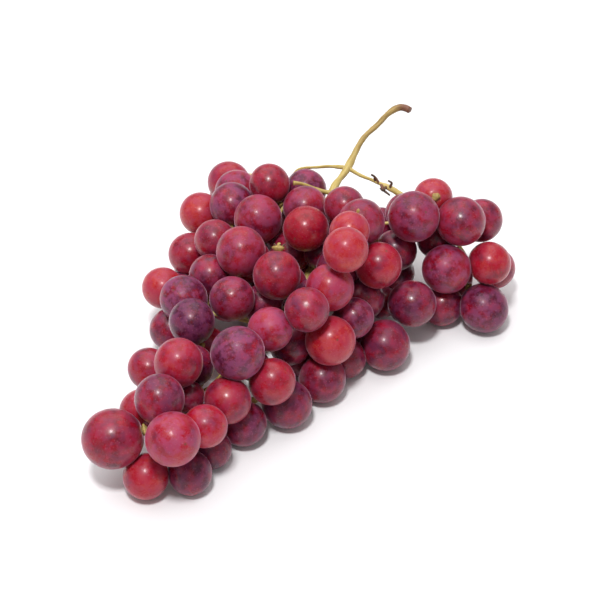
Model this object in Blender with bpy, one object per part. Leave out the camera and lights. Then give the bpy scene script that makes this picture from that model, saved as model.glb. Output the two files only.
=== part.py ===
"""A picked bunch of red table grapes that lies on its side on a flat surface.

The bunch tapers from two broad shoulders at +Y to a narrow tip at -Y, and its cut stalk leans out past
the shoulders. The berries that can be seen are placed from where they appear in the photograph, those
underneath and behind fill the bunch by a rule, and every berry that can be reached hangs on a short
stalk of its own. Lengths are in millimetres until a mesh is made, and then in metres.
"""

import math

import bmesh
import bpy
import numpy as np
from mathutils import Matrix, Vector

METRE = 0.001

# The view in the photograph: how steeply it looks down, from which side, and how far away it is
VIEW_ELEVATION = math.radians(40.0)
VIEW_AZIMUTH = math.radians(30.0)
VIEW_DISTANCE = 830.0
VIEW_FOCAL_PIXELS = 1860.0
VIEW_AIM = (0.0, -8.0, 18.0)
PHOTO_SIZE = 600
PHOTO_MIDDLE = 300.0

# Moves the middle of the bunch's box over the origin
MOVE_TO_ORIGIN = (1.2, 22.0)

# Berries
BERRY_NARROWNESS = 0.97
FACET_SWELL = 1.035
PRESS = 1.7
SPRAY_GAP = 0.9
FLAT_DEPTH = 0.4
HIDDEN_RADIUS_LEAST = 8.8
HIDDEN_RADIUS_MOST = 10.6
HIDDEN_MOST = 40
ON_SURFACE = 0.0

# Stems
TWIG_GAP = 0.65
BRANCH_GAP = 0.9
PEDICEL_RADIUS = 0.7
PEDICEL_ROOT_RADIUS = 0.95
RECEPTACLE_RADIUS = 1.5
RECEPTACLE_LENGTH = 2.2
PEDICEL_LONGEST = 34.0
PEDICEL_SHOWN_MOST = 0.3
PEDICEL_SHOWN_GOOD = 0.12
ROOT_SPACING = 2.4

# Facets that lie this nearly in one plane are one facet
FLATNESS = math.radians(0.2)
SCRAP_FACETS = 30

SEED = 3
STEM_SEED = 3

# Each berry that the photograph shows, by the spray that it hangs on. The four values are how far across
# and how far down the photograph its middle is, and its radius there, all three in pixels, and then the
# height of its middle above the surface. A height of ON_SURFACE is a berry that lies on the surface.
SEEN = {
    # The wing: a side bunch to the right, standing a little apart.
    "wing": {
        "wing_1": (411.5, 216.5, 26.0, 40.0),
        "wing_2": (433.0, 197.5, 19.5, 30.0),
        "wing_3": (463.5, 221.0, 25.0, 35.0),
        "wing_4": (481.0, 220.5, 21.5, 22.0),
        "wing_5": (446.0, 268.0, 25.5, 30.0),
        "wing_6": (490.0, 263.0, 22.0, 28.0),
        "wing_7": (494.0, 268.0, 21.5, 15.0),
        "wing_8": (483.0, 306.0, 24.5, ON_SURFACE),
        "wing_9": (443.0, 307.0, 21.0, ON_SURFACE),
        "wing_10": (436.0, 240.0, 20.0, 20.0),
    },
    # The left shoulder, at the far side of the stem's root.
    "shoulder": {
        "shoulder_1": (229.0, 182.5, 21.5, 20.0),
        "shoulder_2": (237.0, 192.0, 22.5, 29.0),
        "shoulder_3": (232.0, 205.0, 23.0, 38.0),
        "shoulder_4": (200.5, 213.5, 21.5, 27.0),
        "shoulder_5": (272.0, 184.5, 20.5, 37.0),
        "shoulder_6": (258.0, 219.0, 25.0, 46.0),
        "shoulder_7": (215.0, 240.0, 21.0, 32.0),
    },
    # A short row that runs back below the stem's fork.
    "crown": {
        "crown_1": (309.0, 187.0, 20.5, 34.0),
        "crown_2": (305.0, 205.0, 22.0, 41.0),
        "crown_3": (307.0, 229.0, 23.5, 46.0),
        "crown_4": (321.0, 253.0, 17.5, 30.0),
    },
    # The right shoulder, between the stem's fork and the wing.
    "neck": {
        "neck_1": (345.0, 252.0, 23.0, 58.0),
        "neck_2": (349.0, 231.0, 20.5, 54.0),
        "neck_3": (362.0, 220.0, 24.0, 46.0),
        "neck_4": (342.0, 206.0, 20.5, 40.0),
        "neck_5": (396.0, 250.0, 21.0, 22.0),
        "neck_6": (379.5, 268.0, 24.0, 37.0),
        "neck_7": (410.5, 304.5, 24.0, 14.0),
        "neck_8": (362.0, 300.0, 21.0, 22.0),
        "neck_9": (383.0, 302.0, 17.0, 10.0),
        "neck_10": (396.0, 273.0, 19.0, 14.0),
    },
    # The left side of the body.
    "side": {
        "side_1": (190.5, 254.0, 22.0, 22.0),
        "side_2": (241.0, 252.0, 25.5, 46.0),
        "side_3": (211.0, 275.0, 22.0, 33.0),
        "side_4": (163.0, 288.0, 21.0, 18.0),
        "side_5": (183.0, 299.0, 24.5, 30.0),
        "side_6": (192.5, 322.0, 24.0, 40.0),
        "side_7": (171.0, 329.0, 22.0, 18.0),
    },
    # The top of the body.
    "saddle": {
        "saddle_1": (277.0, 274.0, 25.0, 50.0),
        "saddle_2": (232.0, 299.0, 23.5, 43.0),
        "saddle_3": (262.0, 305.0, 21.0, 31.0),
        "saddle_4": (305.0, 312.0, 23.0, 43.0),
        "saddle_5": (270.0, 330.0, 23.0, 39.0),
        "saddle_6": (332.0, 285.0, 24.5, 43.0),
    },
    # The right side of the body, down to the surface.
    "flank": {
        "flank_1": (330.5, 339.5, 26.0, 29.0),
        "flank_2": (353.0, 318.0, 21.0, 24.0),
        "flank_3": (384.0, 340.0, 25.5, ON_SURFACE),
        "flank_4": (322.0, 380.0, 24.0, ON_SURFACE),
        "flank_5": (347.0, 360.0, 21.0, ON_SURFACE),
        "flank_6": (290.0, 345.0, 21.0, 20.0),
    },
    # The lower body, where the bunch narrows.
    "belly": {
        "belly_1": (237.0, 351.0, 28.0, 42.0),
        "belly_2": (288.0, 401.0, 25.0, ON_SURFACE),
        "belly_3": (272.0, 381.0, 24.0, 25.0),
        "belly_4": (225.0, 401.0, 24.5, 27.0),
        "belly_5": (244.0, 425.0, 23.0, ON_SURFACE),
        "belly_6": (254.0, 368.0, 16.5, 10.0),
    },
    # The tip of the bunch.
    "tip": {
        "tip_1": (112.0, 438.0, 31.0, 18.0),
        "tip_2": (174.0, 441.0, 28.5, 30.0),
        "tip_3": (143.5, 477.0, 23.5, ON_SURFACE),
        "tip_4": (193.0, 472.0, 22.5, ON_SURFACE),
        "tip_5": (158.0, 399.0, 26.0, 35.0),
        "tip_6": (205.0, 426.0, 22.5, 24.0),
        "tip_7": (211.0, 447.0, 21.0, ON_SURFACE),
        "tip_8": (179.0, 361.0, 25.0, 33.0),
        "tip_9": (149.0, 369.0, 21.5, 19.0),
        "tip_10": (194.0, 366.0, 21.0, 24.0),
        "tip_11": (190.0, 398.0, 16.5, 8.0),
    },
}

# Which berries each berry partly covers in the photograph
COVERS = {
    "wing_1": ("wing_2", "wing_10", "neck_5"),
    "wing_3": ("wing_2", "wing_4"),
    "wing_5": ("wing_9", "wing_10"),
    "wing_6": ("wing_7",),
    "shoulder_3": ("shoulder_2", "shoulder_4"),
    "shoulder_2": ("shoulder_1",),
    "shoulder_6": ("shoulder_3", "shoulder_5"),
    "shoulder_5": ("shoulder_2",),
    "crown_3": ("crown_2", "crown_4"),
    "crown_2": ("crown_1",),
    "neck_1": ("saddle_6", "neck_2", "neck_6"),
    "neck_2": ("neck_3",),
    "neck_3": ("neck_4",),
    "neck_5": ("neck_10",),
    "neck_6": ("neck_8", "neck_5", "neck_9", "neck_10"),
    "neck_7": ("wing_9", "neck_9", "neck_10"),
    "neck_8": ("neck_9",),
    "side_2": ("shoulder_6", "shoulder_7"),
    "side_5": ("side_4", "side_1", "side_7"),
    "side_6": ("side_5", "side_7"),
    "saddle_1": ("side_2", "saddle_3", "crown_4"),
    "saddle_2": ("side_3", "saddle_3"),
    "saddle_4": ("flank_1", "flank_6"),
    "saddle_5": ("saddle_3", "flank_6"),
    "saddle_6": ("flank_2", "neck_8"),
    "flank_1": ("flank_2", "flank_4", "flank_5", "flank_6"),
    "flank_3": ("flank_5", "neck_9"),
    "belly_1": ("side_6", "saddle_5", "belly_3", "belly_6", "flank_6", "tip_10"),
    "belly_3": ("belly_2", "belly_6"),
    "belly_4": ("belly_5", "tip_11"),
    "tip_8": ("tip_9", "tip_10", "tip_11"),
    "tip_2": ("tip_1", "tip_3", "tip_4", "tip_5", "tip_6"),
    "tip_5": ("tip_8", "tip_11"),
    "tip_6": ("belly_4", "tip_7", "tip_4", "tip_11"),
}

# Where daylight shows between the wing and the body in the photograph, in pixels
DAYLIGHT = ((416.0, 262.0), (420.0, 280.0), (464.0, 249.0))

# The stem-end of a few berries faces the view: how far across and down the photograph it is, in pixels
STEM_END_SEEN = {
    "saddle_1": (279.0, 247.0),
    "tip_1": (142.0, 430.0),
    "belly_4": (204.0, 385.0),
    "neck_2": (357.5, 211.0),
    "wing_2": (434.0, 198.0),
}


def unit(vector):
    return vector / np.linalg.norm(vector)


VIEW_BACK = np.array(
    [
        math.sin(VIEW_AZIMUTH) * math.cos(VIEW_ELEVATION),
        -math.cos(VIEW_AZIMUTH) * math.cos(VIEW_ELEVATION),
        math.sin(VIEW_ELEVATION),
    ]
)
VIEW_RIGHT = np.array([math.cos(VIEW_AZIMUTH), math.sin(VIEW_AZIMUTH), 0.0])
VIEW_UP = np.cross(VIEW_BACK, VIEW_RIGHT)
VIEW_EYE = np.array(VIEW_AIM) + VIEW_BACK * VIEW_DISTANCE


def sight_line(across, down):
    """The direction from the eye through a point of the photograph."""
    sideways = VIEW_RIGHT * (across - PHOTO_MIDDLE) / VIEW_FOCAL_PIXELS
    upward = VIEW_UP * (PHOTO_MIDDLE - down) / VIEW_FOCAL_PIXELS
    return unit(sideways + upward - VIEW_BACK)


def at_height(across, down, height):
    """The point that appears there in the photograph and has this height."""
    line = sight_line(across, down)
    return VIEW_EYE + line * ((height - VIEW_EYE[2]) / line[2])


def in_photo(points):
    """Where points appear in the photograph, in pixels, and how far off they are."""
    offset = points - VIEW_EYE
    away = -(offset @ VIEW_BACK)
    across = PHOTO_MIDDLE + VIEW_FOCAL_PIXELS * (offset @ VIEW_RIGHT) / away
    down = PHOTO_MIDDLE - VIEW_FOCAL_PIXELS * (offset @ VIEW_UP) / away
    return across, down, away


# The stem's fork, where the rachis goes down between the berries
FORK = tuple(at_height(331.0, 207.0, 36.0))
# The swelling of the stalk where the two shoulders' branches leave it
NODE_OF_STALK = tuple(at_height(348.0, 168.0, 46.0))


def seen_path(*readings):
    return [tuple(at_height(*reading)) for reading in readings]


# Each main branch of the stem: the points that it runs through and its radius at each
BRANCHES = {
    "stalk": (
        seen_path(
            (409.7, 110.0, 60.0),
            (400.0, 106.0, 60.0),
            (387.0, 114.0, 58.0),
            (378.0, 125.0, 56.0),
            (368.0, 133.0, 54.0),
            (359.0, 144.0, 51.0),
        )
        + [NODE_OF_STALK]
        + seen_path((339.6, 179.0, 44.0), (332.0, 190.0, 42.0))
        + [FORK],
        (1.9, 2.1, 1.8, 1.6, 1.6, 1.6, 2.3, 1.7, 2.2, 2.2),
    ),
    "rachis": (
        [FORK]
        + seen_path((323.0, 219.0, 22.0))
        + [(-1, 2, 18), (-4, -30, 17), (-4, -55, 16), (-6, -78, 14)]
        + [(-8, -94, 14), (-6, -104, 19), (-6, -113, 23)],
        (2.2, 2.2, 2.1, 1.9, 1.7, 1.5, 1.3, 1.1, 0.9),
    ),
    "left_branch": (
        [NODE_OF_STALK]
        + seen_path((331.0, 166.0, 42.0), (321.0, 167.0, 39.0), (306.0, 168.0, 34.0), (293.0, 171.0, 29.0))
        + [(-42, 50, 20), (-52, 38, 18)],
        (1.1, 0.8, 0.7, 0.7, 0.7, 0.9, 0.7),
    ),
    "right_branch": (
        [NODE_OF_STALK]
        + seen_path((361.0, 176.0, 44.0), (370.5, 179.0, 43.0), (379.0, 183.6, 42.0), (391.0, 188.0, 41.0))
        + [(30, 62, 30), (42, 62, 22), (58, 48, 20)],
        (1.1, 0.8, 0.7, 0.8, 1.4, 1.0, 1.0, 0.8),
    ),
    "bare_pedicel": (
        [tuple(at_height(331.0, 193.0, 42.0))]
        + seen_path((321.0, 191.0, 45.0), (311.0, 187.0, 48.0), (302.0, 183.5, 50.0), (293.5, 183.0, 51.0)),
        (1.2, 0.9, 0.7, 0.7, 1.1),
    ),
    "dried_stub": (
        seen_path((379.0, 183.6, 42.0), (375.5, 177.0, 45.0), (371.0, 174.5, 46.0)),
        (0.7, 0.55, 0.45),
    ),
    "dried_twig": (
        seen_path((381.5, 184.8, 42.0), (383.0, 190.0, 41.5), (386.5, 192.5, 42.5), (389.5, 195.0, 43.5)),
        (0.7, 0.55, 0.5, 0.45),
    ),
    "upper_left_branch": ([(-1, 2, 18), (-16, -2, 22), (-36, 0, 22)], (1.3, 1.1, 0.9)),
    "upper_right_branch": ([(-1, 2, 18), (12, 4, 19), (23, 5, 17)], (1.3, 1.1, 0.9)),
    "middle_right_branch": ([(-3, -19, 17.4), (10, -26, 20), (24, -30, 20)], (1.3, 1.1, 0.9)),
    "middle_left_branch": ([(-4, -30, 17), (-16, -34, 20), (-30, -38, 20)], (1.3, 1.1, 0.9)),
    "lower_right_branch": ([(-4, -55, 16), (5, -61, 17.5), (12, -66, 17.5)], (1.2, 1.0, 0.8)),
}

# The branches that carry no berry
BARREN = ("stalk", "bare_pedicel", "dried_stub", "dried_twig")


class Bunch:
    """The berries of the bunch, as arrays with one row for each berry."""

    def __init__(self):
        self.sprays = list(SEEN)
        self.names = []
        self.spray = []
        self.seen_at = []
        self.radius = []
        self.centre = []
        self.on_surface = []
        for number, berries in enumerate(SEEN.values()):
            for name, (across, down, pixels, height) in berries.items():
                self.add_seen(name, number, across, down, pixels, height)

    def add_seen(self, name, number, across, down, pixels, height):
        centre = at_height(across, down, height)
        radius = pixels * ((VIEW_EYE - centre) @ VIEW_BACK) / VIEW_FOCAL_PIXELS
        lies_down = height == ON_SURFACE
        if lies_down:
            centre = at_height(across, down, radius - FLAT_DEPTH)
        self.add(name, number, (across, down), radius, centre, lies_down)

    def add(self, name, number, seen_at, radius, centre, lies_down):
        self.names.append(name)
        self.spray.append(number)
        self.seen_at.append(seen_at)
        self.radius.append(radius)
        self.centre.append(centre)
        self.on_surface.append(lies_down)

    def arrays(self):
        return (
            np.array(self.spray),
            np.array(self.radius),
            np.array(self.centre),
            np.array(self.on_surface),
        )

    def in_front(self):
        """+1 where the first berry covers the second in the photograph, -1 the other way round."""
        table = np.zeros((len(self.names), len(self.names)))
        for front, covered in COVERS.items():
            for back in covered:
                table[self.names.index(front), self.names.index(back)] = 1.0
                table[self.names.index(back), self.names.index(front)] = -1.0
        return table


def branch_pieces():
    """Each straight piece of every branch: its two ends and its radius at each."""
    for points, radii in BRANCHES.values():
        for start, end, start_radius, end_radius in zip(points, points[1:], radii, radii[1:]):
            yield np.array(start, float), np.array(end, float), start_radius, end_radius


def nearest_on_branches(points):
    """For each point, the clear distance to the nearest branch and the direction away from it."""
    best = np.full(len(points), 1e9)
    away = np.zeros((len(points), 3))
    for start, end, start_radius, end_radius in branch_pieces():
        along = np.clip(((points - start) @ (end - start)) / ((end - start) @ (end - start)), 0, 1)
        offset = points - start - along[:, None] * (end - start)
        reach = np.linalg.norm(offset, axis=1)
        clear = reach - (start_radius + along * (end_radius - start_radius))
        nearer = clear < best
        best[nearer] = clear[nearer]
        away[nearer] = offset[nearer] / np.maximum(reach[nearer], 1e-6)[:, None]
    return best, away


def spray_links(spray, gap):
    """The pairs of neighbours that join each spray into one, shortest first."""
    links = []
    for number in range(spray.max() + 1):
        left = list(np.flatnonzero(spray == number))
        joined = [left.pop(0)]
        while left:
            gaps = gap[np.ix_(joined, left)]
            first, second = np.unravel_index(np.argmin(gaps), gaps.shape)
            links.append((joined[first], left[second]))
            joined.append(left.pop(second))
    return links


def settle(bunch, steps, gather):
    """Move the berries until none crowds another. Those seen keep to their line of sight."""
    spray, radius, centre, on_surface = bunch.arrays()
    front = bunch.in_front()
    seen = np.array([place is not None for place in bunch.seen_at])
    lines = np.array([sight_line(*place) if place else -VIEW_BACK for place in bunch.seen_at])
    home = centre.copy()
    touching = radius[:, None] + radius[None] + np.where(spray[:, None] == spray[None], -PRESS, SPRAY_GAP)
    keep = 0.25 if gather else 0.1
    for step in range(steps):
        offset = centre[:, None] - centre[None]
        distance = np.linalg.norm(offset, axis=2) + np.eye(len(radius)) * 1e6
        crowding = np.clip(touching - distance, 0, None)
        push = (offset / distance[..., None] * crowding[..., None]).sum(1) * 0.28
        away = -(centre @ VIEW_BACK)
        behind = np.where(front != 0, -front, np.sign(away[:, None] - away[None]))
        slide = (behind * crowding).sum(1) * 0.25
        if gather:
            apart = np.clip(distance - touching, 0, 8) * (front != 0)
            slide -= (behind * apart).sum(1) * 0.04
        along = (push * lines).sum(1)[:, None] * lines
        across = push - along
        sideways = across * (0.35 if gather else 0.8)
        move = np.where(seen[:, None], along + sideways + lines * slide[:, None], push)
        clear, outward = nearest_on_branches(centre)
        move += outward * np.clip(radius + BRANCH_GAP - clear, 0, None)[:, None] * 0.5
        centre = centre + move
        on_line = VIEW_EYE + lines * ((centre - VIEW_EYE) * lines).sum(1)[:, None]
        centre = np.where(seen[:, None], centre + (on_line - centre) * keep, centre)
        if gather:
            centre += (home - centre) * 0.012
        if step % 4 == 0:
            links = spray_links(spray, distance - touching)
        for first, second in links:
            between = centre[second] - centre[first]
            length = np.linalg.norm(between)
            apart = length - touching[first, second]
            if apart > 0:
                centre[first] += between / length * min(apart, 3.0) * 0.15
                centre[second] -= between / length * min(apart, 3.0) * 0.15
        lowest = radius - FLAT_DEPTH
        centre[:, 2] = np.where(on_surface, lowest, np.maximum(centre[:, 2], lowest))
    bunch.centre = [point for point in np.round(centre, 2)]


def seen_depths(radius, centre):
    """How far off the nearest seen berry is at each pixel of the photograph."""
    depths = np.full((PHOTO_SIZE, PHOTO_SIZE), 1e9)
    downs, acrosses = np.mgrid[0:PHOTO_SIZE, 0:PHOTO_SIZE]
    for across, down, away, size in zip(*in_photo(centre), radius):
        inside = (acrosses - across) ** 2 + (downs - down) ** 2 < (size * VIEW_FOCAL_PIXELS / away) ** 2
        depths[inside] = np.minimum(depths[inside], away)
    return depths


def hidden_places(random, radius, centre):
    """Places for a berry that the photograph could not show, and their clear distance to the branches."""
    spacing = 2.5
    typical = 9.7
    grid = np.meshgrid(
        np.arange(-85.0, 90.0, spacing),
        np.arange(-140.0, 95.0, spacing),
        np.arange(typical, 50.0, spacing),
        indexing="ij",
    )
    places = np.stack([axis.ravel() for axis in grid], 1)
    places += random.uniform(-0.8, 0.8, places.shape)
    places[:, 2] = np.maximum(places[:, 2], typical - FLAT_DEPTH)
    across, down, away = in_photo(places)
    reach = typical * VIEW_FOCAL_PIXELS / away
    depths = seen_depths(radius, centre)
    covered = np.zeros(len(places))
    for angle in np.linspace(0.0, 2.0 * math.pi, 12, endpoint=False):
        column = np.clip(across + 0.93 * reach * math.cos(angle), 0, PHOTO_SIZE - 1).astype(int)
        row = np.clip(down + 0.93 * reach * math.sin(angle), 0, PHOTO_SIZE - 1).astype(int)
        covered += depths[row, column] < away - 3.0
    allowed = covered >= 10
    for gap_across, gap_down in DAYLIGHT:
        allowed &= np.hypot(across - gap_across, down - gap_down) > reach + 1.0
    places = places[allowed]
    return places, nearest_on_branches(places)[0]


def add_hidden(bunch):
    """Fill the bunch underneath and behind, each berry where it touches the most others."""
    random = np.random.default_rng(SEED)
    spray, radius, centre, _ = bunch.arrays()
    places, clear = hidden_places(random, radius, centre)
    reach = np.linalg.norm(places[:, None] - centre[None], axis=2) - radius[None]
    for number in range(HIDDEN_MOST):
        size = round(float(random.uniform(HIDDEN_RADIUS_LEAST, HIDDEN_RADIUS_MOST)), 2)
        gap = reach - size
        touches = (gap < 1.2).sum(1)
        nearest = gap.min(1)
        good = (nearest > -PRESS) & (clear > size - 0.8) & (touches >= 2)
        if not good.any():
            return
        score = touches - places[:, 2] * 0.03 - np.abs(nearest + 0.5) * 0.3
        best = int(np.argmax(np.where(good, np.round(score, 4), -1e9)))
        point = places[best].copy()
        point[2] = max(point[2], size - FLAT_DEPTH)
        owner = bunch.spray[int(np.argmin(gap[best]))]
        bunch.add(f"hidden_{number + 1}", owner, None, size, point, False)
        reach = np.column_stack([reach, np.linalg.norm(places - point, axis=1) - size])


def settled_bunch():
    bunch = Bunch()
    settle(bunch, 500, gather=True)
    add_hidden(bunch)
    settle(bunch, 250, gather=True)
    settle(bunch, 400, gather=False)
    return bunch


def smooth_path(points, radii, parts=2):
    """A rounded run through the points, with the radius at each of its own points."""
    points = np.array(points, float)
    count = len(points)
    before = np.vstack([2 * points[0] - points[1], points])
    path = []
    sizes = []
    for index in range(count - 1):
        previous = before[index]
        start = points[index]
        end = points[index + 1]
        following = points[index + 2] if index + 2 < count else 2 * end - start
        for part in range(parts):
            t = part / parts
            path.append(
                0.5
                * (
                    2 * start
                    + (end - previous) * t
                    + (2 * previous - 5 * start + 4 * end - following) * t**2
                    + (3 * start - previous - 3 * end + following) * t**3
                )
            )
            sizes.append(radii[index] * (1 - t) + radii[index + 1] * t)
    path.append(points[-1])
    sizes.append(radii[-1])
    return np.array(path), sizes


def points_along(path):
    """Points close together on the straight pieces of a path, where a pedicel may take root."""
    steps = np.linspace(0.1, 0.9, 3)[:, None]
    return np.vstack([start + (end - start) * steps for start, end in zip(path, path[1:])])


def pedicel_path(start, end, centre, radius):
    """A short path from a branch to a berry, bent clear of the berries that it passes."""
    path = start + (end - start) * np.linspace(0.0, 1.0, 4)[:, None]
    lowest = PEDICEL_RADIUS + SPRAY_GAP
    for _ in range(50):
        offset = path[1:-1, None] - centre[None]
        distance = np.linalg.norm(offset, axis=2)
        crowding = radius[None] + PEDICEL_RADIUS + TWIG_GAP + 0.1 - distance
        worst = crowding.argmax(1)
        rows = np.arange(len(worst))
        push = np.clip(crowding[rows, worst], 0, 2.0)
        path[1:-1] += (offset[rows, worst] / distance[rows, worst][:, None]) * push[:, None]
        path[1:-1] = 0.8 * path[1:-1] + 0.1 * (path[:-2] + path[2:])
        path[1:-1, 2] = np.maximum(path[1:-1, 2], lowest)
    return path


def path_is_clear(path, own, centre, radius):
    steps = np.linspace(0.0, 1.0, 8)[:, None]
    pieces = [start + (end - start) * steps for start, end in zip(path, path[1:])]
    samples = np.vstack(pieces)
    distance = np.linalg.norm(samples[:, None] - centre[None], axis=2) - radius[None]
    near_own = np.linalg.norm(samples - path[-1], axis=1) < 2.5
    distance[near_own, own] = 1e9
    return distance.min() > PEDICEL_RADIUS + TWIG_GAP


def share_shown(path, depths):
    """How much of a path the photograph would show, from 0 to 1."""
    steps = np.linspace(0.0, 1.0, 6)[:, None]
    samples = np.vstack([start + (end - start) * steps for start, end in zip(path, path[1:])])
    across, down, away = in_photo(samples)
    column = np.clip(across, 0, PHOTO_SIZE - 1).astype(int)
    row = np.clip(down, 0, PHOTO_SIZE - 1).astype(int)
    return round(float((depths[row, column] > away - 2.0).mean()), 2)


def stem_end_directions(random, wanted):
    """Directions in which a berry's stem-end may face, the wanted one first."""
    spread = random.normal(size=(40, 3))
    spread /= np.linalg.norm(spread, axis=1)[:, None]
    spread = spread[np.argsort(-(spread @ wanted))][:26]
    return [wanted] + [unit(one + 0.35 * wanted) for one in spread]


def seen_stem_end(name, place, pixels):
    """The direction of a stem-end that the photograph shows."""
    across, down = STEM_END_SEEN[name]
    sideways = (across - place[0]) / pixels
    upward = (place[1] - down) / pixels
    toward = math.sqrt(max(0.0, 1.0 - sideways**2 - upward**2))
    return unit(VIEW_RIGHT * sideways + VIEW_UP * upward + VIEW_BACK * toward)


def grow_pedicels(bunch):
    """A pedicel for each berry that one can reach, and the direction of every berry's stem-end."""
    random = np.random.default_rng(SEED + 1)
    _, radius, centre, _ = bunch.arrays()
    bearing = [smooth_path(*BRANCHES[name])[0] for name in BRANCHES if name not in BARREN]
    roots = np.vstack([points_along(path) for path in bearing])
    order = np.argsort([np.round(np.linalg.norm(roots - point, axis=1).min(), 2) for point in centre])
    depths = seen_depths(radius, centre)
    pedicels = {}
    facing = {}
    for index in order:
        name = bunch.names[index]
        nearest = roots[np.argmin(np.linalg.norm(roots - centre[index], axis=1))]
        wanted = unit(nearest - centre[index])
        if name in STEM_END_SEEN:
            pixels = SEEN[bunch.sprays[bunch.spray[index]]][name][2]
            wanted = seen_stem_end(name, bunch.seen_at[index], pixels)
        facing[name] = wanted
        least_shown = PEDICEL_SHOWN_MOST
        for direction in stem_end_directions(random, wanted):
            end = centre[index] + direction * (radius[index] + TWIG_GAP)
            room = np.linalg.norm(end + direction * RECEPTACLE_LENGTH - centre, axis=1) - radius
            room[index] = 1e9
            if room.min() < RECEPTACLE_RADIUS + TWIG_GAP or end[2] < RECEPTACLE_RADIUS + SPRAY_GAP:
                continue
            reach = np.linalg.norm(roots - end, axis=1)
            start = roots[np.argmin(reach)] + random.uniform(-0.2, 0.2, 3)
            if reach.min() > PEDICEL_LONGEST:
                continue
            neck = end + direction * RECEPTACLE_LENGTH
            path = pedicel_path(start, neck, centre, radius)
            path = np.vstack([path, end])
            shown = share_shown(path, depths)
            if shown < least_shown and path_is_clear(path, index, centre, radius):
                pedicels[name] = path
                facing[name] = direction
                least_shown = shown
            if least_shown <= PEDICEL_SHOWN_GOOD:
                break
        if name in pedicels:
            path = pedicels[name]
            free = np.linalg.norm(roots - path[0], axis=1) > ROOT_SPACING
            roots = np.vstack([roots[free], points_along(path[1:-2])])
    return pedicels, facing


def new_collection(name):
    collection = bpy.data.collections.new(name)
    bpy.context.scene.collection.children.link(collection)
    return collection


def plain_material(name, colour, roughness):
    material = bpy.data.materials.new(name)
    material.use_nodes = True
    shader = material.node_tree.nodes["Principled BSDF"]
    shader.inputs["Base Color"].default_value = (*colour, 1.0)
    shader.inputs["Roughness"].default_value = roughness
    return material


def add_mesh_object(name, bm, collection):
    mesh = bpy.data.meshes.new(name)
    bm.to_mesh(mesh)
    bm.free()
    obj = bpy.data.objects.new(name, mesh)
    collection.objects.link(obj)
    return obj


def cut_flat(bm):
    """Press the berry flat where it lies on the surface."""
    bmesh.ops.bisect_plane(
        bm,
        geom=bm.verts[:] + bm.edges[:] + bm.faces[:],
        dist=1e-7,
        plane_co=(0.0, 0.0, 0.0),
        plane_no=(0.0, 0.0, -1.0),
        clear_outer=True,
    )
    edges = [edge for edge in bm.edges if edge.is_boundary]
    bmesh.ops.holes_fill(bm, edges=edges, sides=0)


def add_berry(name, centre, radius, facing, turn, collection):
    """One berry: slightly longer than wide, along the line of its pedicel."""
    bm = bmesh.new()
    bmesh.ops.create_icosphere(bm, subdivisions=2, radius=radius * FACET_SWELL * METRE)
    bmesh.ops.scale(bm, vec=(BERRY_NARROWNESS, BERRY_NARROWNESS, 1.0), verts=bm.verts[:])
    low = centre[2] < radius * FACET_SWELL
    if low:
        turned = Matrix.Rotation(turn, 4, "Z")
    else:
        turned = Vector(facing).to_track_quat("Z", "Y").to_matrix().to_4x4() @ Matrix.Rotation(turn, 4, "Z")
    bm.transform(Matrix.Translation(Vector(centre) * METRE) @ turned)
    if low:
        cut_flat(bm)
    return add_mesh_object(name, bm, collection)


def add_tube(name, path, radii, roundness, collection, turn=0.0):
    """A stem as a closed tube: a roundness of 0 gives it four sides, 1 six and 2 eight."""
    curve = bpy.data.curves.new(name, "CURVE")
    curve.dimensions = "3D"
    curve.bevel_depth = METRE
    curve.bevel_resolution = roundness
    curve.use_fill_caps = True
    spline = curve.splines.new("POLY")
    spline.points.add(len(path) - 1)
    for point, place, radius in zip(spline.points, path, radii):
        point.co = (*(Vector(place) * METRE), 1.0)
        point.radius = radius
        point.tilt = turn
    drawn = bpy.data.objects.new(name + "_line", curve)
    collection.objects.link(drawn)
    bpy.context.view_layer.update()
    mesh = bpy.data.meshes.new_from_object(drawn.evaluated_get(bpy.context.evaluated_depsgraph_get()))
    bm = bmesh.new()
    bm.from_mesh(mesh)
    bmesh.ops.remove_doubles(bm, verts=bm.verts[:], dist=1e-6)
    bmesh.ops.recalc_face_normals(bm, faces=bm.faces[:])
    bm.transform(drawn.matrix_world)
    bpy.data.objects.remove(drawn)
    return add_mesh_object(name, bm, collection)


def drop_scraps(bm):
    """Leave out the slivers that joining many thin pieces can leave loose."""
    left = set(bm.faces)
    bodies = []
    while left:
        start = left.pop()
        body = [start]
        waiting = [start]
        while waiting:
            for edge in waiting.pop().edges:
                if len(edge.link_faces) != 2:
                    continue
                for face in edge.link_faces:
                    if face in left:
                        left.remove(face)
                        body.append(face)
                        waiting.append(face)
        bodies.append(body)
    for body in bodies:
        if len(body) < SCRAP_FACETS:
            bmesh.ops.delete(bm, geom=body, context="FACES")


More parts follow.
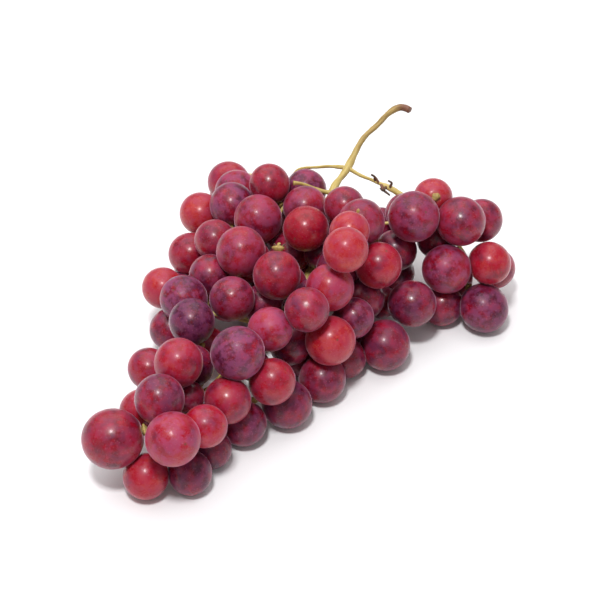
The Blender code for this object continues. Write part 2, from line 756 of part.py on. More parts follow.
def fuse(name, pieces, collection, material):
    """Join the overlapping pieces of one node into one closed body."""
    base = pieces[0]
    helpers = new_collection(name + "_pieces")
    helpers.hide_render = True
    for piece in pieces[1:]:
        piece.users_collection[0].objects.unlink(piece)
        piece.display_type = "WIRE"
        piece.hide_render = True
        helpers.objects.link(piece)
    union = base.modifiers.new("fuse", "BOOLEAN")
    union.operation = "UNION"
    union.operand_type = "COLLECTION"
    union.collection = helpers
    union.solver = "MANIFOLD"
    bpy.context.view_layer.update()
    mesh = bpy.data.meshes.new_from_object(base.evaluated_get(bpy.context.evaluated_depsgraph_get()))
    for piece in pieces:
        bpy.data.objects.remove(piece)
    bpy.data.collections.remove(helpers)
    bm = bmesh.new()
    bm.from_mesh(mesh)
    bmesh.ops.dissolve_limit(bm, angle_limit=FLATNESS, verts=bm.verts[:], edges=bm.edges[:])
    bmesh.ops.triangulate(bm, faces=bm.faces[:])
    drop_scraps(bm)
    bmesh.ops.translate(bm, vec=Vector((*MOVE_TO_ORIGIN, 0.0)) * METRE, verts=bm.verts[:])
    node = add_mesh_object(name, bm, collection)
    for polygon in node.data.polygons:
        polygon.use_smooth = True
    node.data.materials.append(material)
    return node


def build_berries(bunch, facing, collection):
    """The berries of each spray, pressed together as they grew."""
    random = np.random.default_rng(SEED + 2)
    for number, spray in enumerate(bunch.sprays):
        pieces = []
        for index, name in enumerate(bunch.names):
            if bunch.spray[index] == number:
                turn = random.uniform(0.0, 2.0 * math.pi)
                berry = (name, bunch.centre[index], bunch.radius[index], facing[name])
                pieces.append(add_berry(*berry, turn, collection))
        skin = plain_material(spray + "_skin", (0.36, 0.035, 0.07), 0.4)
        fuse(spray + "_berries", pieces, collection, skin)


def build_stem(pedicels, collection):
    """The stalk, the rachis, their branches and every pedicel: one woody growth."""
    random = np.random.default_rng(STEM_SEED)
    pieces = []
    for name, (points, radii) in BRANCHES.items():
        path, sizes = smooth_path(points, radii)
        thick = max(radii) > 1.5
        pieces.append(add_tube(name, path, sizes, 2 if thick else 1, collection))
    for name, path in pedicels.items():
        girth = random.uniform(0.92, 1.04)
        slender = [PEDICEL_RADIUS * girth] * (len(path) - 2)
        sizes = [PEDICEL_ROOT_RADIUS * girth] + slender + [RECEPTACLE_RADIUS]
        turn = random.uniform(0.0, 0.5 * math.pi)
        pieces.append(add_tube(name + "_pedicel", path, sizes, 0, collection, turn))
    wood = plain_material("stem_wood", (0.42, 0.38, 0.12), 0.6)
    fuse("stem", pieces, collection, wood)


def clear_scene():
    for obj in list(bpy.data.objects):
        bpy.data.objects.remove(obj)


def build():
    clear_scene()
    collection = new_collection("grape_bunch")
    bunch = settled_bunch()
    pedicels, facing = grow_pedicels(bunch)
    build_stem(pedicels, collection)
    build_berries(bunch, facing, collection)


build()
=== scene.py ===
import math

import bmesh
import bpy
import numpy as np
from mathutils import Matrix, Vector


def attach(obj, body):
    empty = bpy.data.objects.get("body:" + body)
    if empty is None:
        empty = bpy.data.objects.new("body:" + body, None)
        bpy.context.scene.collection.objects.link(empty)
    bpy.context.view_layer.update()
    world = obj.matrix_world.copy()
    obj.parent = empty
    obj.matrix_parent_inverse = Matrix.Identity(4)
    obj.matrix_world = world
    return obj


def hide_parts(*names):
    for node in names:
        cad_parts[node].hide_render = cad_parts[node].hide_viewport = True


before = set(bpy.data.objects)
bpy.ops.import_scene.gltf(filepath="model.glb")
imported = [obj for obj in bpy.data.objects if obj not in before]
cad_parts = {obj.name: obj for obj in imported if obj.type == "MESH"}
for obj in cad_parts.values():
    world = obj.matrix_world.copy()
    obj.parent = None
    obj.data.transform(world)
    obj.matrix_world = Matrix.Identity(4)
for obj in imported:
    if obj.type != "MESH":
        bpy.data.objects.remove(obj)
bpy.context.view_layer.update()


# The stem
# One woody growth, cut from the vine: the stalk, the rachis inside the bunch, its branches and the pedicels.
# It grew with its berries, so the places of all of them are worked out here, from readings of the photograph.
METRE = 0.001

# The view in the photograph: how steeply it looks down, from which side, and how far away it is
VIEW_ELEVATION = math.radians(40.0)
VIEW_AZIMUTH = math.radians(30.0)
VIEW_DISTANCE = 830.0
VIEW_FOCAL_PIXELS = 1860.0
VIEW_AIM = (0.0, -8.0, 18.0)
PHOTO_SIZE = 600
PHOTO_MIDDLE = 300.0

# Moves the middle of the bunch's box over the origin
MOVE_TO_ORIGIN = (1.2, 22.0)

# Berries, in millimetres: how far those of a spray press into each other, the gap between sprays, how deep
# the flat spots are, and the size and greatest number of the berries that can't be seen
PRESS = 1.7
SPRAY_GAP = 0.9
FLAT_DEPTH = 0.4
HIDDEN_RADIUS_LEAST = 8.8
HIDDEN_RADIUS_MOST = 10.6
HIDDEN_MOST = 40
ON_SURFACE = 0.0

# Stems, in millimetres: their gaps to the berries, the thickness and greatest length of a pedicel, what share
# of one may show in the photograph, and how far apart and how unevenly pedicels take root
TWIG_GAP = 0.65
BRANCH_GAP = 0.9
PEDICEL_RADIUS = 0.7
PEDICEL_ROOT_RADIUS = 0.95
RECEPTACLE_RADIUS = 1.5
RECEPTACLE_LENGTH = 2.2
PEDICEL_LONGEST = 34.0
PEDICEL_SHOWN_MOST = 0.3
PEDICEL_SHOWN_GOOD = 0.12
ROOT_SPACING = 2.4
ROOT_JITTER = 0.2

# Where the random draws start
SEED = 3

# Each berry that the photograph shows, by the spray that it hangs on: how far across and how far down the
# photograph its middle is, and its radius there, all in pixels, and then the height of its middle above the
# surface. A height of ON_SURFACE is a berry that lies on the surface.
READINGS = {
    # The wing: a side bunch to the right, standing a little apart
    "wing": (
        (411.5, 216.5, 26.0, 40.0), (433.0, 197.5, 19.5, 30.0), (463.5, 221.0, 25.0, 35.0),
        (481.0, 220.5, 21.5, 22.0), (446.0, 268.0, 25.5, 30.0), (490.0, 263.0, 22.0, 28.0),
        (494.0, 268.0, 21.5, 15.0), (483.0, 306.0, 24.5, ON_SURFACE), (443.0, 307.0, 21.0, ON_SURFACE),
        (436.0, 240.0, 20.0, 20.0),
    ),
    # The left shoulder, at the far side of the stem's root
    "shoulder": (
        (229.0, 182.5, 21.5, 20.0), (237.0, 192.0, 22.5, 29.0), (232.0, 205.0, 23.0, 38.0),
        (200.5, 213.5, 21.5, 27.0), (272.0, 184.5, 20.5, 37.0), (258.0, 219.0, 25.0, 46.0),
        (215.0, 240.0, 21.0, 32.0),
    ),
    # A short row that runs back below the stem's fork
    "crown": (
        (309.0, 187.0, 20.5, 34.0), (305.0, 205.0, 22.0, 41.0), (307.0, 229.0, 23.5, 46.0),
        (321.0, 253.0, 17.5, 30.0),
    ),
    # The right shoulder, between the stem's fork and the wing
    "neck": (
        (345.0, 252.0, 23.0, 58.0), (349.0, 231.0, 20.5, 54.0), (362.0, 220.0, 24.0, 46.0),
        (342.0, 206.0, 20.5, 40.0), (396.0, 250.0, 21.0, 22.0), (379.5, 268.0, 24.0, 37.0),
        (410.5, 304.5, 24.0, 14.0), (362.0, 300.0, 21.0, 22.0), (383.0, 302.0, 17.0, 10.0),
        (396.0, 273.0, 19.0, 14.0),
    ),
    # The left side of the body
    "side": (
        (190.5, 254.0, 22.0, 22.0), (241.0, 252.0, 25.5, 46.0), (211.0, 275.0, 22.0, 33.0),
        (163.0, 288.0, 21.0, 18.0), (183.0, 299.0, 24.5, 30.0), (192.5, 322.0, 24.0, 40.0),
        (171.0, 329.0, 22.0, 18.0),
    ),
    # The top of the body
    "saddle": (
        (277.0, 274.0, 25.0, 50.0), (232.0, 299.0, 23.5, 43.0), (262.0, 305.0, 21.0, 31.0),
        (305.0, 312.0, 23.0, 43.0), (270.0, 330.0, 23.0, 39.0), (332.0, 285.0, 24.5, 43.0),
    ),
    # The right side of the body, down to the surface
    "flank": (
        (330.5, 339.5, 26.0, 29.0), (353.0, 318.0, 21.0, 24.0), (384.0, 340.0, 25.5, ON_SURFACE),
        (322.0, 380.0, 24.0, ON_SURFACE), (347.0, 360.0, 21.0, ON_SURFACE), (290.0, 345.0, 21.0, 20.0),
    ),
    # The lower body, where the bunch narrows
    "belly": (
        (237.0, 351.0, 28.0, 42.0), (288.0, 401.0, 25.0, ON_SURFACE), (272.0, 381.0, 24.0, 25.0),
        (225.0, 401.0, 24.5, 27.0), (244.0, 425.0, 23.0, ON_SURFACE), (254.0, 368.0, 16.5, 10.0),
    ),
    # The tip of the bunch
    "tip": (
        (112.0, 438.0, 31.0, 18.0), (174.0, 441.0, 28.5, 30.0), (143.5, 477.0, 23.5, ON_SURFACE),
        (193.0, 472.0, 22.5, ON_SURFACE), (158.0, 399.0, 26.0, 35.0), (205.0, 426.0, 22.5, 24.0),
        (211.0, 447.0, 21.0, ON_SURFACE), (179.0, 361.0, 25.0, 33.0), (149.0, 369.0, 21.5, 19.0),
        (194.0, 366.0, 21.0, 24.0), (190.0, 398.0, 16.5, 8.0),
    ),
}

# The same by name: a berry's name is that of its spray with its number there
SEEN = {
    spray: {f"{spray}_{number}": row for number, row in enumerate(rows, 1)}
    for spray, rows in READINGS.items()
}

# Which berries each berry partly covers in the photograph
COVERS = {
    "wing_1": ("wing_2", "wing_10", "neck_5"),
    "wing_3": ("wing_2", "wing_4"),
    "wing_5": ("wing_9", "wing_10"),
    "wing_6": ("wing_7",),
    "shoulder_3": ("shoulder_2", "shoulder_4"),
    "shoulder_2": ("shoulder_1",),
    "shoulder_6": ("shoulder_3", "shoulder_5"),
    "shoulder_5": ("shoulder_2",),
    "crown_3": ("crown_2", "crown_4"),
    "crown_2": ("crown_1",),
    "neck_1": ("saddle_6", "neck_2", "neck_6"),
    "neck_2": ("neck_3",),
    "neck_3": ("neck_4",),
    "neck_5": ("neck_10",),
    "neck_6": ("neck_8", "neck_5", "neck_9", "neck_10"),
    "neck_7": ("wing_9", "neck_9", "neck_10"),
    "neck_8": ("neck_9",),
    "side_2": ("shoulder_6", "shoulder_7"),
    "side_5": ("side_4", "side_1", "side_7"),
    "side_6": ("side_5", "side_7"),
    "saddle_1": ("side_2", "saddle_3", "crown_4"),
    "saddle_2": ("side_3", "saddle_3"),
    "saddle_4": ("flank_1", "flank_6"),
    "saddle_5": ("saddle_3", "flank_6"),
    "saddle_6": ("flank_2", "neck_8"),
    "flank_1": ("flank_2", "flank_4", "flank_5", "flank_6"),
    "flank_3": ("flank_5", "neck_9"),
    "belly_1": ("side_6", "saddle_5", "belly_3", "belly_6", "flank_6", "tip_10"),
    "belly_3": ("belly_2", "belly_6"),
    "belly_4": ("belly_5", "tip_11"),
    "tip_8": ("tip_9", "tip_10", "tip_11"),
    "tip_2": ("tip_1", "tip_3", "tip_4", "tip_5", "tip_6"),
    "tip_5": ("tip_8", "tip_11"),
    "tip_6": ("belly_4", "tip_7", "tip_4", "tip_11"),
}

# Where daylight shows between the wing and the body in the photograph, in pixels
DAYLIGHT = ((416.0, 262.0), (420.0, 280.0), (464.0, 249.0))

# The stem-end of a few berries faces the view: how far across and down the photograph it is, in pixels
STEM_END_SEEN = {
    "saddle_1": (279.0, 247.0),
    "tip_1": (142.0, 430.0),
    "belly_4": (204.0, 385.0),
    "neck_2": (357.5, 211.0),
    "wing_2": (434.0, 198.0),
}


def unit(vector):
    return vector / np.linalg.norm(vector)


VIEW_BACK = np.array(
    [
        math.sin(VIEW_AZIMUTH) * math.cos(VIEW_ELEVATION),
        -math.cos(VIEW_AZIMUTH) * math.cos(VIEW_ELEVATION),
        math.sin(VIEW_ELEVATION),
    ]
)
VIEW_RIGHT = np.array([math.cos(VIEW_AZIMUTH), math.sin(VIEW_AZIMUTH), 0.0])
VIEW_UP = np.cross(VIEW_BACK, VIEW_RIGHT)
VIEW_EYE = np.array(VIEW_AIM) + VIEW_BACK * VIEW_DISTANCE


def sight_line(across, down):
    """The direction from the eye through a point of the photograph."""
    sideways = VIEW_RIGHT * (across - PHOTO_MIDDLE) / VIEW_FOCAL_PIXELS
    upward = VIEW_UP * (PHOTO_MIDDLE - down) / VIEW_FOCAL_PIXELS
    return unit(sideways + upward - VIEW_BACK)


def at_height(across, down, height):
    """The point that appears there in the photograph and has this height."""
    line = sight_line(across, down)
    return VIEW_EYE + line * ((height - VIEW_EYE[2]) / line[2])


def in_photo(points):
    """Where points appear in the photograph, in pixels, and how far off they are."""
    offset = points - VIEW_EYE
    away = -(offset @ VIEW_BACK)
    across = PHOTO_MIDDLE + VIEW_FOCAL_PIXELS * (offset @ VIEW_RIGHT) / away
    down = PHOTO_MIDDLE - VIEW_FOCAL_PIXELS * (offset @ VIEW_UP) / away
    return across, down, away


# The stem's fork, where the rachis goes down between the berries
FORK = tuple(at_height(331.0, 207.0, 36.0))
# The swelling of the stalk where the two shoulders' branches leave it
NODE_OF_STALK = tuple(at_height(348.0, 168.0, 46.0))


def seen_path(*readings):
    """The points of these readings: across and down in pixels, and the height."""
    return [tuple(at_height(*reading)) for reading in readings]


# Each main branch of the stem: the points that it runs through and its radius at each
BRANCHES = {
    "stalk": (
        seen_path((409.7, 110.0, 60.0), (400.0, 106.0, 60.0), (387.0, 114.0, 58.0))
        + seen_path((378.0, 125.0, 56.0), (368.0, 133.0, 54.0), (359.0, 144.0, 51.0))
        + [NODE_OF_STALK]
        + seen_path((339.6, 179.0, 44.0), (332.0, 190.0, 42.0))
        + [FORK],
        (1.9, 2.1, 1.8, 1.6, 1.6, 1.6, 2.3, 1.7, 2.2, 2.2),
    ),
    "rachis": (
        [FORK]
        + seen_path((323.0, 219.0, 22.0))
        + [(-1, 2, 18), (-4, -30, 17), (-4, -55, 16), (-6, -78, 14)]
        + [(-8, -94, 14), (-6, -104, 19), (-6, -113, 23)],
        (2.2, 2.2, 2.1, 1.9, 1.7, 1.5, 1.3, 1.1, 0.9),
    ),
    "left_branch": (
        [NODE_OF_STALK]
        + seen_path((331.0, 166.0, 42.0), (321.0, 167.0, 39.0), (306.0, 168.0, 34.0), (293.0, 171.0, 29.0))
        + [(-42, 50, 20), (-52, 38, 18)],
        (1.1, 0.8, 0.7, 0.7, 0.7, 0.9, 0.7),
    ),
    "right_branch": (
        [NODE_OF_STALK]
        + seen_path((361.0, 176.0, 44.0), (370.5, 179.0, 43.0), (379.0, 183.6, 42.0), (391.0, 188.0, 41.0))
        + [(30, 62, 30), (42, 62, 22), (58, 48, 20)],
        (1.1, 0.8, 0.7, 0.8, 1.4, 1.0, 1.0, 0.8),
    ),
    "bare_pedicel": (
        [tuple(at_height(331.0, 193.0, 42.0))]
        + seen_path((321.0, 191.0, 45.0), (311.0, 187.0, 48.0), (302.0, 183.5, 50.0), (293.5, 183.0, 51.0)),
        (1.2, 0.9, 0.7, 0.7, 1.1),
    ),
    "dried_stub": (
        seen_path((379.0, 183.6, 42.0), (375.5, 177.0, 45.0), (371.0, 174.5, 46.0)),
        (0.7, 0.55, 0.45),
    ),
    "dried_twig": (
        seen_path((381.5, 184.8, 42.0), (383.0, 190.0, 41.5), (386.5, 192.5, 42.5), (389.5, 195.0, 43.5)),
        (0.7, 0.55, 0.5, 0.45),
    ),
    "upper_left_branch": ([(-1, 2, 18), (-16, -2, 22), (-36, 0, 22)], (1.3, 1.1, 0.9)),
    "upper_right_branch": ([(-1, 2, 18), (12, 4, 19), (23, 5, 17)], (1.3, 1.1, 0.9)),
    "middle_right_branch": ([(-3, -19, 17.4), (10, -26, 20), (24, -30, 20)], (1.3, 1.1, 0.9)),
    "middle_left_branch": ([(-4, -30, 17), (-16, -34, 20), (-30, -38, 20)], (1.3, 1.1, 0.9)),
    "lower_right_branch": ([(-4, -55, 16), (5, -61, 17.5), (12, -66, 17.5)], (1.2, 1.0, 0.8)),
}

# The branches that carry no berry
BARREN = ("stalk", "bare_pedicel", "dried_stub", "dried_twig")


class Bunch:
    """The berries of the bunch, as arrays with one row for each berry."""

    def __init__(self):
        self.sprays = list(SEEN)
        self.names = []
        self.spray = []
        self.seen_at = []
        self.radius = []
        self.centre = []
        self.on_surface = []
        for number, berries in enumerate(SEEN.values()):
            for name, (across, down, pixels, height) in berries.items():
                self.add_seen(name, number, across, down, pixels, height)

    def add_seen(self, name, number, across, down, pixels, height):
        centre = at_height(across, down, height)
        radius = pixels * ((VIEW_EYE - centre) @ VIEW_BACK) / VIEW_FOCAL_PIXELS
        lies_down = height == ON_SURFACE
        if lies_down:
            centre = at_height(across, down, radius - FLAT_DEPTH)
        self.add(name, number, (across, down), radius, centre, lies_down)

    def add(self, name, number, seen_at, radius, centre, lies_down):
        self.names.append(name)
        self.spray.append(number)
        self.seen_at.append(seen_at)
        self.radius.append(radius)
        self.centre.append(centre)
        self.on_surface.append(lies_down)

    def arrays(self):
        return [np.array(values) for values in (self.spray, self.radius, self.centre, self.on_surface)]

    def in_front(self):
        """+1 where the first berry covers the second in the photograph, -1 the other way round."""
        table = np.zeros((len(self.names), len(self.names)))
        for front, covered in COVERS.items():
            for back in covered:
                table[self.names.index(front), self.names.index(back)] = 1.0
                table[self.names.index(back), self.names.index(front)] = -1.0
        return table


def branch_pieces():
    """Each straight piece of every branch: its two ends and its radius at each."""
    for points, radii in BRANCHES.values():
        for start, end, start_radius, end_radius in zip(points, points[1:], radii, radii[1:]):
            yield np.array(start, float), np.array(end, float), start_radius, end_radius


def nearest_on_branches(points):
    """For each point, the clear distance to the nearest branch and the direction away from it."""
    best = np.full(len(points), 1e9)
    away = np.zeros((len(points), 3))
    for start, end, start_radius, end_radius in branch_pieces():
        along = np.clip(((points - start) @ (end - start)) / ((end - start) @ (end - start)), 0, 1)
        offset = points - start - along[:, None] * (end - start)
        reach = np.linalg.norm(offset, axis=1)
        clear = reach - (start_radius + along * (end_radius - start_radius))
        nearer = clear < best
        best[nearer] = clear[nearer]
        away[nearer] = offset[nearer] / np.maximum(reach[nearer], 1e-6)[:, None]
    return best, away


def spray_links(spray, gap):
    """The pairs of neighbours that join each spray into one, shortest first."""
    links = []
    for number in range(spray.max() + 1):
        left = list(np.flatnonzero(spray == number))
        joined = [left.pop(0)]
        while left:
            gaps = gap[np.ix_(joined, left)]
            first, second = np.unravel_index(np.argmin(gaps), gaps.shape)
            links.append((joined[first], left[second]))
            joined.append(left.pop(second))
    return links


# How much of each crowding, gap or distance one step of the settling takes up
PUSH_SHARE = 0.28
SLIDE_SHARE = 0.25
GATHER_SHARE = 0.04
BRANCH_SHARE = 0.5
HOME_SHARE = 0.012
LINK_SHARE = 0.15
# The widest gap that counts in full, in millimetres, between berries that cover each other and in a spray
GATHER_REACH = 8
LINK_REACH = 3.0


def settle(bunch, steps, gather):
    """Move the berries until none crowds another. Those seen keep to their line of sight."""
    spray, radius, centre, on_surface = bunch.arrays()
    front = bunch.in_front()
    seen = np.array([place is not None for place in bunch.seen_at])
    lines = np.array([sight_line(*place) if place else -VIEW_BACK for place in bunch.seen_at])
    home = centre.copy()
    touching = radius[:, None] + radius[None] + np.where(spray[:, None] == spray[None], -PRESS, SPRAY_GAP)
    # How strongly a seen berry goes back to its line of sight, and how freely it gives way sideways
    keep = 0.25 if gather else 0.1
    give = 0.35 if gather else 0.8
    for step in range(steps):
        offset = centre[:, None] - centre[None]
        distance = np.linalg.norm(offset, axis=2) + np.eye(len(radius)) * 1e6
        crowding = np.clip(touching - distance, 0, None)
        push = (offset / distance[..., None] * crowding[..., None]).sum(1) * PUSH_SHARE
        away = -(centre @ VIEW_BACK)
        behind = np.where(front != 0, -front, np.sign(away[:, None] - away[None]))
        slide = (behind * crowding).sum(1) * SLIDE_SHARE
        if gather:
            apart = np.clip(distance - touching, 0, GATHER_REACH) * (front != 0)
            slide -= (behind * apart).sum(1) * GATHER_SHARE
        along = (push * lines).sum(1)[:, None] * lines
        sideways = (push - along) * give
        move = np.where(seen[:, None], along + sideways + lines * slide[:, None], push)
        clear, outward = nearest_on_branches(centre)
        move += outward * np.clip(radius + BRANCH_GAP - clear, 0, None)[:, None] * BRANCH_SHARE
        centre = centre + move
        on_line = VIEW_EYE + lines * ((centre - VIEW_EYE) * lines).sum(1)[:, None]
        centre = np.where(seen[:, None], centre + (on_line - centre) * keep, centre)
        if gather:
            centre += (home - centre) * HOME_SHARE
        if step % 4 == 0:
            links = spray_links(spray, distance - touching)
        for first, second in links:
            between = centre[second] - centre[first]
            length = np.linalg.norm(between)
            apart = length - touching[first, second]
            if apart > 0:
                pull = between / length * min(apart, LINK_REACH) * LINK_SHARE
                centre[first] += pull
                centre[second] -= pull
        lowest = radius - FLAT_DEPTH
        centre[:, 2] = np.where(on_surface, lowest, np.maximum(centre[:, 2], lowest))
    bunch.centre = [point for point in np.round(centre, 2)]


def seen_depths(radius, centre):
    """How far off the nearest seen berry is at each pixel of the photograph."""
    depths = np.full((PHOTO_SIZE, PHOTO_SIZE), 1e9)
    downs, acrosses = np.mgrid[0:PHOTO_SIZE, 0:PHOTO_SIZE]
    for across, down, away, size in zip(*in_photo(centre), radius):
        inside = (acrosses - across) ** 2 + (downs - down) ** 2 < (size * VIEW_FOCAL_PIXELS / away) ** 2
        depths[inside] = np.minimum(depths[inside], away)
    return depths


def nearest_seen(depths, across, down):
    """How far off the nearest seen berry is at these places of the photograph."""
    column = np.clip(across, 0, PHOTO_SIZE - 1).astype(int)
    row = np.clip(down, 0, PHOTO_SIZE - 1).astype(int)
    return depths[row, column]


def hidden_places(random, radius, centre):
    """Places for a berry that the photograph could not show, and their clear distance to the branches."""
    spacing = 2.5
    typical = 9.7
    rim_points = 12
    least_covered = 10
    cover_margin = 3.0
    daylight_margin = 1.0
    scatter = 0.8
    grid = np.meshgrid(
        np.arange(-85.0, 90.0, spacing),
        np.arange(-140.0, 95.0, spacing),
        np.arange(typical, 50.0, spacing),
        indexing="ij",
    )
    places = np.stack([axis.ravel() for axis in grid], 1)
    places += random.uniform(-scatter, scatter, places.shape)
    places[:, 2] = np.maximum(places[:, 2], typical - FLAT_DEPTH)
    across, down, away = in_photo(places)
    reach = typical * VIEW_FOCAL_PIXELS / away
    rim = 0.93 * reach
    depths = seen_depths(radius, centre)
    covered = np.zeros(len(places))
    for angle in np.linspace(0.0, 2.0 * math.pi, rim_points, endpoint=False):
        cover = nearest_seen(depths, across + rim * math.cos(angle), down + rim * math.sin(angle))
        covered += cover < away - cover_margin
    allowed = covered >= least_covered
    for gap_across, gap_down in DAYLIGHT:
        allowed &= np.hypot(across - gap_across, down - gap_down) > reach + daylight_margin
    places = places[allowed]
    return places, nearest_on_branches(places)[0]


def add_hidden(bunch):
    """Fill the bunch underneath and behind, each berry where it touches the most others."""
    touch_gap = 1.2
    branch_give = 0.8
    lower_first = 0.03
    closer_first = 0.3
    random = np.random.default_rng(SEED)
    _, radius, centre, _ = bunch.arrays()
    places, clear = hidden_places(random, radius, centre)
    reach = np.linalg.norm(places[:, None] - centre[None], axis=2) - radius[None]
    for number in range(HIDDEN_MOST):
        size = round(float(random.uniform(HIDDEN_RADIUS_LEAST, HIDDEN_RADIUS_MOST)), 2)
        gap = reach - size
        touches = (gap < touch_gap).sum(1)
        nearest = gap.min(1)
        good = (nearest > -PRESS) & (clear > size - branch_give) & (touches >= 2)
        if not good.any():
            return
        score = touches - places[:, 2] * lower_first - np.abs(nearest + 0.5) * closer_first
        best = int(np.argmax(np.where(good, np.round(score, 4), -1e9)))
        point = places[best].copy()
        point[2] = max(point[2], size - FLAT_DEPTH)
        owner = bunch.spray[int(np.argmin(gap[best]))]
        bunch.add(f"hidden_{number + 1}", owner, None, size, point, False)
        reach = np.column_stack([reach, np.linalg.norm(places - point, axis=1) - size])


def settled_bunch():
    """The berries seen, settled, and then the ones that fill the bunch among them."""
    bunch = Bunch()
    settle(bunch, steps=500, gather=True)
    add_hidden(bunch)
    settle(bunch, steps=250, gather=True)
    settle(bunch, steps=400, gather=False)
    return bunch


def smooth_path(points, radii, parts=2):
    """A rounded run through the points, with the radius at each of its own points."""
    points = np.array(points, float)
    longer = np.vstack([2 * points[0] - points[1], points, 2 * points[-1] - points[-2]])
    path = []
    sizes = []
    for index in range(len(points) - 1):
        previous, start, end, following = longer[index : index + 4]
        bend = 2 * previous - 5 * start + 4 * end - following
        turn = 3 * start - previous - 3 * end + following
        for part in range(parts):
            t = part / parts
            path.append(0.5 * (2 * start + (end - previous) * t + bend * t**2 + turn * t**3))
            sizes.append(radii[index] * (1 - t) + radii[index + 1] * t)
    path.append(points[-1])
    sizes.append(radii[-1])
    return np.array(path), sizes


def points_along(path, first, last, count):
    """So many points on each straight piece of a path, from the first share of its length to the last."""
    steps = np.linspace(first, last, count)[:, None]
    return np.vstack([start + (end - start) * steps for start, end in zip(path, path[1:])])


def pedicel_path(start, end, centre, radius):
    """A short path from a branch to a berry, bent clear of the berries that it passes."""
    path = start + (end - start) * np.linspace(0.0, 1.0, 4)[:, None]
    lowest = PEDICEL_RADIUS + SPRAY_GAP
    spare = 0.1
    longest_push = 2.0
    for _ in range(50):
        offset = path[1:-1, None] - centre[None]
        distance = np.linalg.norm(offset, axis=2)
        crowding = radius[None] + PEDICEL_RADIUS + TWIG_GAP + spare - distance
        worst = crowding.argmax(1)
        rows = np.arange(len(worst))
        push = np.clip(crowding[rows, worst], 0, longest_push)
        path[1:-1] += (offset[rows, worst] / distance[rows, worst][:, None]) * push[:, None]
        path[1:-1] = 0.8 * path[1:-1] + 0.1 * (path[:-2] + path[2:])
        path[1:-1, 2] = np.maximum(path[1:-1, 2], lowest)
    return path


def path_is_clear(path, own, centre, radius):
    """Whether a path keeps its gap to all berries, apart from its own near its end."""
    own_reach = 2.5
    samples = points_along(path, 0.0, 1.0, 8)
    distance = np.linalg.norm(samples[:, None] - centre[None], axis=2) - radius[None]
    near_own = np.linalg.norm(samples - path[-1], axis=1) < own_reach
    distance[near_own, own] = 1e9
    return distance.min() > PEDICEL_RADIUS + TWIG_GAP


def share_shown(path, depths):
    """How much of a path the photograph would show, from 0 to 1."""
    cover_margin = 2.0
    across, down, away = in_photo(points_along(path, 0.0, 1.0, 6))
    return round(float((nearest_seen(depths, across, down) > away - cover_margin).mean()), 2)


def stem_end_directions(random, wanted):
    """Directions in which a berry's stem-end may face, the wanted one first and then those nearest to it."""
    tried = 40
    kept = 26
    lean = 0.35
    spread = random.normal(size=(tried, 3))
    spread /= np.linalg.norm(spread, axis=1)[:, None]
    spread = spread[np.argsort(-(spread @ wanted))][:kept]
    return [wanted] + [unit(one + lean * wanted) for one in spread]


def seen_stem_end(name, place, pixels):
    """The direction of a stem-end that the photograph shows."""
    across, down = STEM_END_SEEN[name]
    sideways = (across - place[0]) / pixels
    upward = (place[1] - down) / pixels
    toward = math.sqrt(max(0.0, 1.0 - sideways**2 - upward**2))
    return unit(VIEW_RIGHT * sideways + VIEW_UP * upward + VIEW_BACK * toward)


def grow_pedicels(bunch):
    """A pedicel for each berry that one can reach, and the direction of every berry's stem-end."""
    random = np.random.default_rng(SEED + 1)
    _, radius, centre, _ = bunch.arrays()
    bearing = [smooth_path(*BRANCHES[name])[0] for name in BRANCHES if name not in BARREN]
    roots = np.vstack([points_along(path, 0.1, 0.9, 3) for path in bearing])
    order = np.argsort([np.round(np.linalg.norm(roots - point, axis=1).min(), 2) for point in centre])
    depths = seen_depths(radius, centre)
    pedicels = {}
    facing = {}
    for index in order:
        name = bunch.names[index]
        nearest = roots[np.argmin(np.linalg.norm(roots - centre[index], axis=1))]
        wanted = unit(nearest - centre[index])
        if name in STEM_END_SEEN:
            pixels = SEEN[bunch.sprays[bunch.spray[index]]][name][2]
            wanted = seen_stem_end(name, bunch.seen_at[index], pixels)
        facing[name] = wanted
        least_shown = PEDICEL_SHOWN_MOST
        for direction in stem_end_directions(random, wanted):
            end = centre[index] + direction * (radius[index] + TWIG_GAP)
            room = np.linalg.norm(end + direction * RECEPTACLE_LENGTH - centre, axis=1) - radius
            room[index] = 1e9
            if room.min() < RECEPTACLE_RADIUS + TWIG_GAP or end[2] < RECEPTACLE_RADIUS + SPRAY_GAP:
                continue
            reach = np.linalg.norm(roots - end, axis=1)
            start = roots[np.argmin(reach)] + random.uniform(-ROOT_JITTER, ROOT_JITTER, 3)
            if reach.min() > PEDICEL_LONGEST:
                continue
            neck = end + direction * RECEPTACLE_LENGTH
            path = pedicel_path(start, neck, centre, radius)
            path = np.vstack([path, end])
            shown = share_shown(path, depths)
            if shown < least_shown and path_is_clear(path, index, centre, radius):
                pedicels[name] = path
                facing[name] = direction
                least_shown = shown
            if least_shown <= PEDICEL_SHOWN_GOOD:
                break
        if name in pedicels:
            path = pedicels[name]
            free = np.linalg.norm(roots - path[0], axis=1) > ROOT_SPACING
            roots = np.vstack([roots[free], points_along(path[1:-2], 0.1, 0.9, 3)])
    return pedicels, facing


def fine_path(points, radii, parts, evenness=0):
    """The same run through the points in small steps, with its sharper kinks eased."""
    path, sizes = smooth_path(points, radii, parts)
    for _ in range(evenness):
        path[1:-1] = 0.5 * path[1:-1] + 0.25 * (path[:-2] + path[2:])
    return path, sizes


